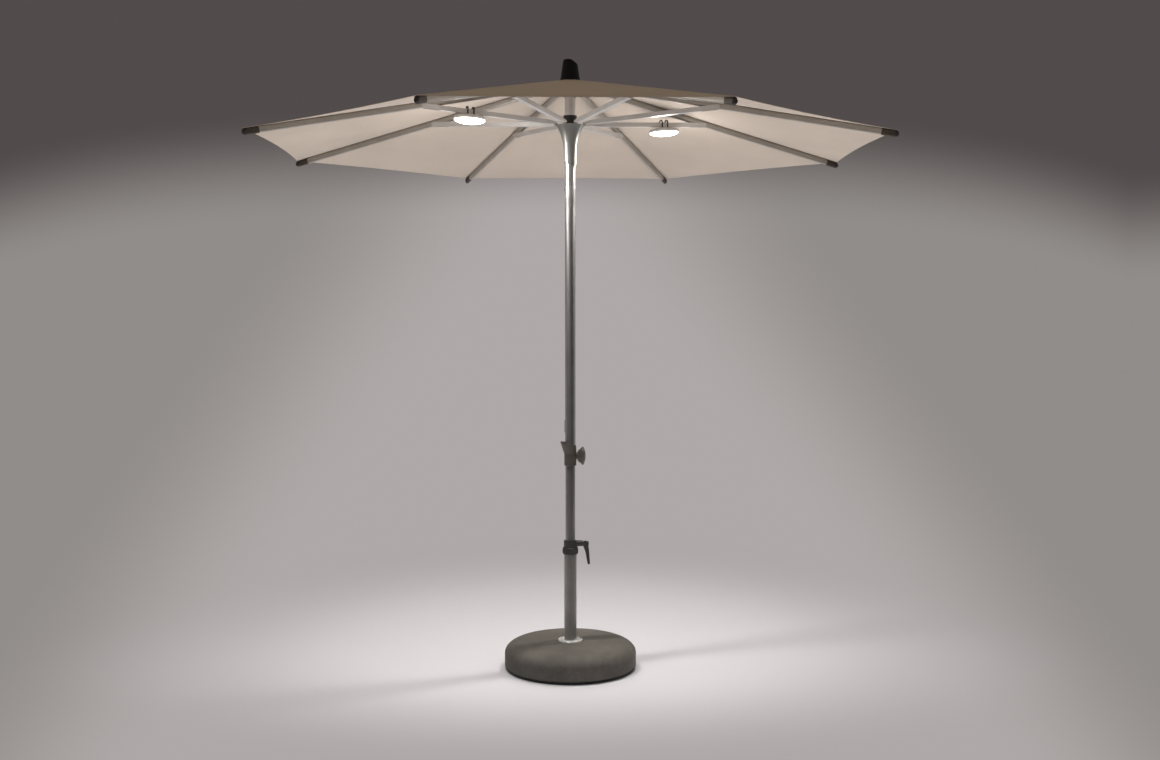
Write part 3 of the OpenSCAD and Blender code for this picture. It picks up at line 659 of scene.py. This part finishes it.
# %% [markdown]
# ## Sewing the cloth
#
# Each piece of cloth is a thin closed shell: a grid of points for the top, the
# same grid lowered by the cloth's thickness, and a narrow wall round the edge.
# The last 22 mm are turned over and sewn down, so the hem is twice as thick.
# A UV map in metres goes with the grid, and the weave reads it, so it stays in
# the cloth when the canopy folds.


# %% The cloth shell
def cloth_shell(name, grid, uv, thickness):
    """A thin closed shell through rows of points. thickness is a table of the
    same size as the grid."""
    rows, columns = len(grid), len(grid[0])
    shape = bmesh.new()
    layer = shape.loops.layers.uv.new("cloth")
    top = [[shape.verts.new(p) for p in row] for row in grid]
    low = [[shape.verts.new(p - Vector((0, 0, thickness[i][j])))
            for j, p in enumerate(row)] for i, row in enumerate(grid)]

    def face(corners, places, wall=False):
        made = shape.faces.new(corners)
        made.smooth = not wall
        for loop, (i, j) in zip(made.loops, places):
            loop[layer].uv = uv[i][j]
        return made

    for i in range(rows - 1):
        for j in range(columns - 1):
            ring = [(i, j), (i, j + 1), (i + 1, j + 1), (i + 1, j)]
            face([top[a][b] for a, b in ring], ring)
            face([low[a][b] for a, b in reversed(ring)], list(reversed(ring)))
    border = ([(0, j) for j in range(columns)] + [(i, columns - 1) for i in range(1, rows)]
              + [(rows - 1, j) for j in range(columns - 2, -1, -1)]
              + [(i, 0) for i in range(rows - 2, 0, -1)])
    for here, there in zip(border, border[1:] + border[:1]):
        wall = [top[there[0]][there[1]], top[here[0]][here[1]],
                low[here[0]][here[1]], low[there[0]][there[1]]]
        for edge in face(wall, [there, here, here, there], wall=True).edges:
            edge.smooth = False
    bmesh.ops.recalc_face_normals(shape, faces=shape.faces)
    mesh = bpy.data.meshes.new(name)
    shape.to_mesh(mesh)
    shape.free()
    piece = bpy.data.objects.new(name, mesh)
    bpy.context.scene.collection.objects.link(piece)
    return piece


def flat_area(grid):
    """The area of a grid of points, in square metres."""
    total = 0.0
    for upper, lower in zip(grid, grid[1:]):
        for a, b, c, d in zip(upper, upper[1:], lower[1:], lower):
            total += ((c - a).cross(d - b)).length / 2
    return total


print("shell builder ready")

# %% [markdown]
# The cloth itself is a solution-dyed acrylic in a warm sand colour. Its weave
# is plain: two sets of yarns that pass over and under each other about twice a
# millimetre. From a few metres only a soft, even surface is left, with faint
# streaks where a yarn is thicker.

# %% The cloth's finish
CLOTH_COLOUR = (0.424, 0.367, 0.319)
TOP_SHADE_SHARE = (0.98, 0.80, 0.605)      # painted shade: the upper face is a little darker and browner, as less light falls on it
YARN = 0.0011                            # two yarns of the weave


def cloth_finish():
    """Woven cloth, painted a little darker and browner on its upper side as painted shade."""
    made, tree = new_material("canopy_cloth")
    uv = add(tree, "ShaderNodeUVMap", uv_map="cloth").outputs["UV"]
    width, length, _ = split_vector(tree, uv)
    turns = 2 * math.pi / YARN
    warp = maths(tree, "SINE", maths(tree, "MULTIPLY", width, turns))
    weft = maths(tree, "SINE", maths(tree, "MULTIPLY", length, turns))
    weave = maths(tree, "MULTIPLY", warp, weft)
    slub = noise(tree, coordinates(tree), 180.0, 3.0)
    cloud = noise(tree, coordinates(tree), 4.0, 3.0)
    share = maths(tree, "ADD", maths(tree, "MULTIPLY", cloud, 0.6),
                  maths(tree, "MULTIPLY", slub, 0.4))
    low = tuple(c * 0.93 for c in CLOTH_COLOUR)
    high = tuple(c * 1.06 for c in CLOTH_COLOUR)
    inside = ramp(tree, share, [(0.35, low), (0.65, high)])
    # painted shade: the upper face's colours, a little darker and browner than the underside
    shaded_top_low = tuple(a * b for a, b in zip(low, TOP_SHADE_SHARE))
    shaded_top_high = tuple(a * b for a, b in zip(high, TOP_SHADE_SHARE))
    shaded_outside = ramp(tree, share, [(0.35, shaded_top_low), (0.65, shaded_top_high)])
    _, _, upward = split_vector(tree, add(tree, "ShaderNodeTexCoord").outputs["Normal"])
    surface = add(tree, "ShaderNodeBsdfPrincipled")
    # the upper side wears the painted shade, the underside the cloth's own colour
    tree.links.new(blend_colours(tree, smooth(tree, upward, -0.2, 0.2), inside, shaded_outside),
                   surface.inputs["Base Color"])
    tree.links.new(ramp(tree, slub, [(0.3, 0.80), (0.7, 0.90)]), surface.inputs["Roughness"])
    surface.inputs["Specular IOR Level"].default_value = 0.25
    surface.inputs["Sheen Weight"].default_value = 0.12
    surface.inputs["Sheen Roughness"].default_value = 0.5
    surface.inputs["Sheen Tint"].default_value = (0.85, 0.75, 0.62, 1.0)
    height = maths(tree, "ADD", maths(tree, "MULTIPLY", weave, 0.5), slub)
    finish_with(tree, surface, height, 0.25, 0.0003)
    return made


CLOTH = cloth_finish()
print("cloth finish ready")

# %% [markdown]
# A side panel starts at the seam band's edge and ends in the middle of the triangle, where it meets
# the next rib's panel. The two share that edge, point for point, so no line shows there. Each panel
# rides on its rib.

# %% Sewing one piece
CLOTH_THICK = 0.0009
HEM = 0.022                              # width of the turned edge
HEM_STEP = 0.0006                        # share of the length on which the hem steps up
HEM_RAISE = 0.0008
BAND_RAISE = 0.0005                      # a seam band lies over the panels' edges
LIFT = 0.0012                            # from RIB_TOP to the top of the cloth
cloth_pieces = []


def row_shares(count, hem):
    """Places from 0 to 1, with two close rows that make the hem's step."""
    plain = [(1.0 - hem) * i / (count - 3) for i in range(count - 2)]
    return plain + [1.0 - hem + HEM_STEP, 1.0]


def sew(name, rows, columns, start, side, k, width_at):
    """Lays out a grid of cloth points and makes the shell.

    width_at(reach, j) says how far column j lies from the rib."""
    hem = HEM / CLOTH_OUT
    grid, uv, thick = [], [], []
    for share in row_shares(rows, hem):
        row, places, depth = [], [], []
        for j in range(columns + 1):
            limit = edge_reach(width_at(CLOTH_OUT - EDGE_DRAW, j))
            reach = start + (limit - start) * share
            width = width_at(reach, j)
            raised = HEM_RAISE if share > 1.0 - hem else 0.0
            raised += BAND_RAISE if side == 0 else 0.0
            hand = side if side else (1 if width >= 0 else -1)
            row.append(cloth_point(k, hand, reach, abs(width), LIFT + raised))
            places.append((width, reach))
            depth.append(CLOTH_THICK + raised)
        grid.append(row)
        uv.append(places)
        thick.append(depth)
    piece = cloth_shell(name, grid, uv, thick)
    piece.data.materials.append(CLOTH)
    cloth_pieces.append(piece)
    return piece, flat_area(grid)


print("a hem of", HEM, "m on cloth of", CLOTH_THICK, "m")

# %% Widths of panel and band
ROWS = 34
BAND_COLUMNS = 4
PANEL_COLUMNS = 14


def panel_width(columns):
    """From the seam band's edge to the middle of the triangle."""
    def width_at(reach, j):
        full = reach * math.tan(HALF)
        return BAND_WIDTH + (full - BAND_WIDTH) * j / columns
    return width_at


def band_width(columns):
    """From one edge of the seam band to the other."""
    def width_at(reach, j):
        half = min(BAND_WIDTH, reach * math.tan(HALF))
        return half * (2 * j / columns - 1)
    return width_at


print("a seam band is", 2 * BAND, "m wide")

# %% All eight ribs
PANEL_IN = BAND_WIDTH / math.tan(HALF) + 0.0003     # where the bands no longer fill the triangle

for k in RIBS:
    band, area = sew(f"cloth_band_{k}", ROWS, BAND_COLUMNS, CLOTH_IN, 0, k,
                     band_width(BAND_COLUMNS))
    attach(band, f"rib_body_{k}")
    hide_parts(f"canopy_{k}")
    for side, word in ((1, "left"), (-1, "right")):
        panel, area = sew(f"cloth_{word}_{k}", ROWS, PANEL_COLUMNS, PANEL_IN, side, k,
                          panel_width(PANEL_COLUMNS))
        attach(panel, f"rib_body_{k}")
        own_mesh(panel)
print("sewn", len(cloth_pieces), "pieces of cloth; one panel is", round(area, 3), "square metres")

# %% [markdown]
# ## The lamps
#
# Each lamp is a flat grey housing with a milky dome that glows all over. A dome
# of opal plastic spreads its light so well that it looks evenly white, a little
# less so at its rim, where one looks along the surface.


# %% The lamps' domes
DOME_GLOW = 8.0


def lit_dome():
    """Opal plastic that glows almost evenly."""
    made, tree = new_material("lit_dome")
    surface = add(tree, "ShaderNodeBsdfPrincipled")
    surface.inputs["Roughness"].default_value = 0.35
    surface.inputs["Emission Strength"].default_value = DOME_GLOW
    cloud = noise(tree, coordinates(tree), 30.0, 2.0)
    tree.links.new(ramp(tree, cloud, [(0.3, (0.88, 0.86, 0.82)), (0.7, (0.93, 0.91, 0.87))]),
                   surface.inputs["Base Color"])
    tree.links.new(ramp(tree, cloud, [(0.3, (1.0, 0.93, 0.84)), (0.7, (1.0, 0.95, 0.87))]),
                   surface.inputs["Emission Color"])
    finish_with(tree, surface, cloud, 0.05, 0.0002)
    return made


LIT = lit_dome()
dress(LIT, "lamp_diffuser_right", "lamp_diffuser_left")
print("two lit domes")

# %% [markdown]
# ## The standard view
#
# The picture is set to the standard view.

# %% The view
bpy.context.scene.view_settings.view_transform = "Standard"
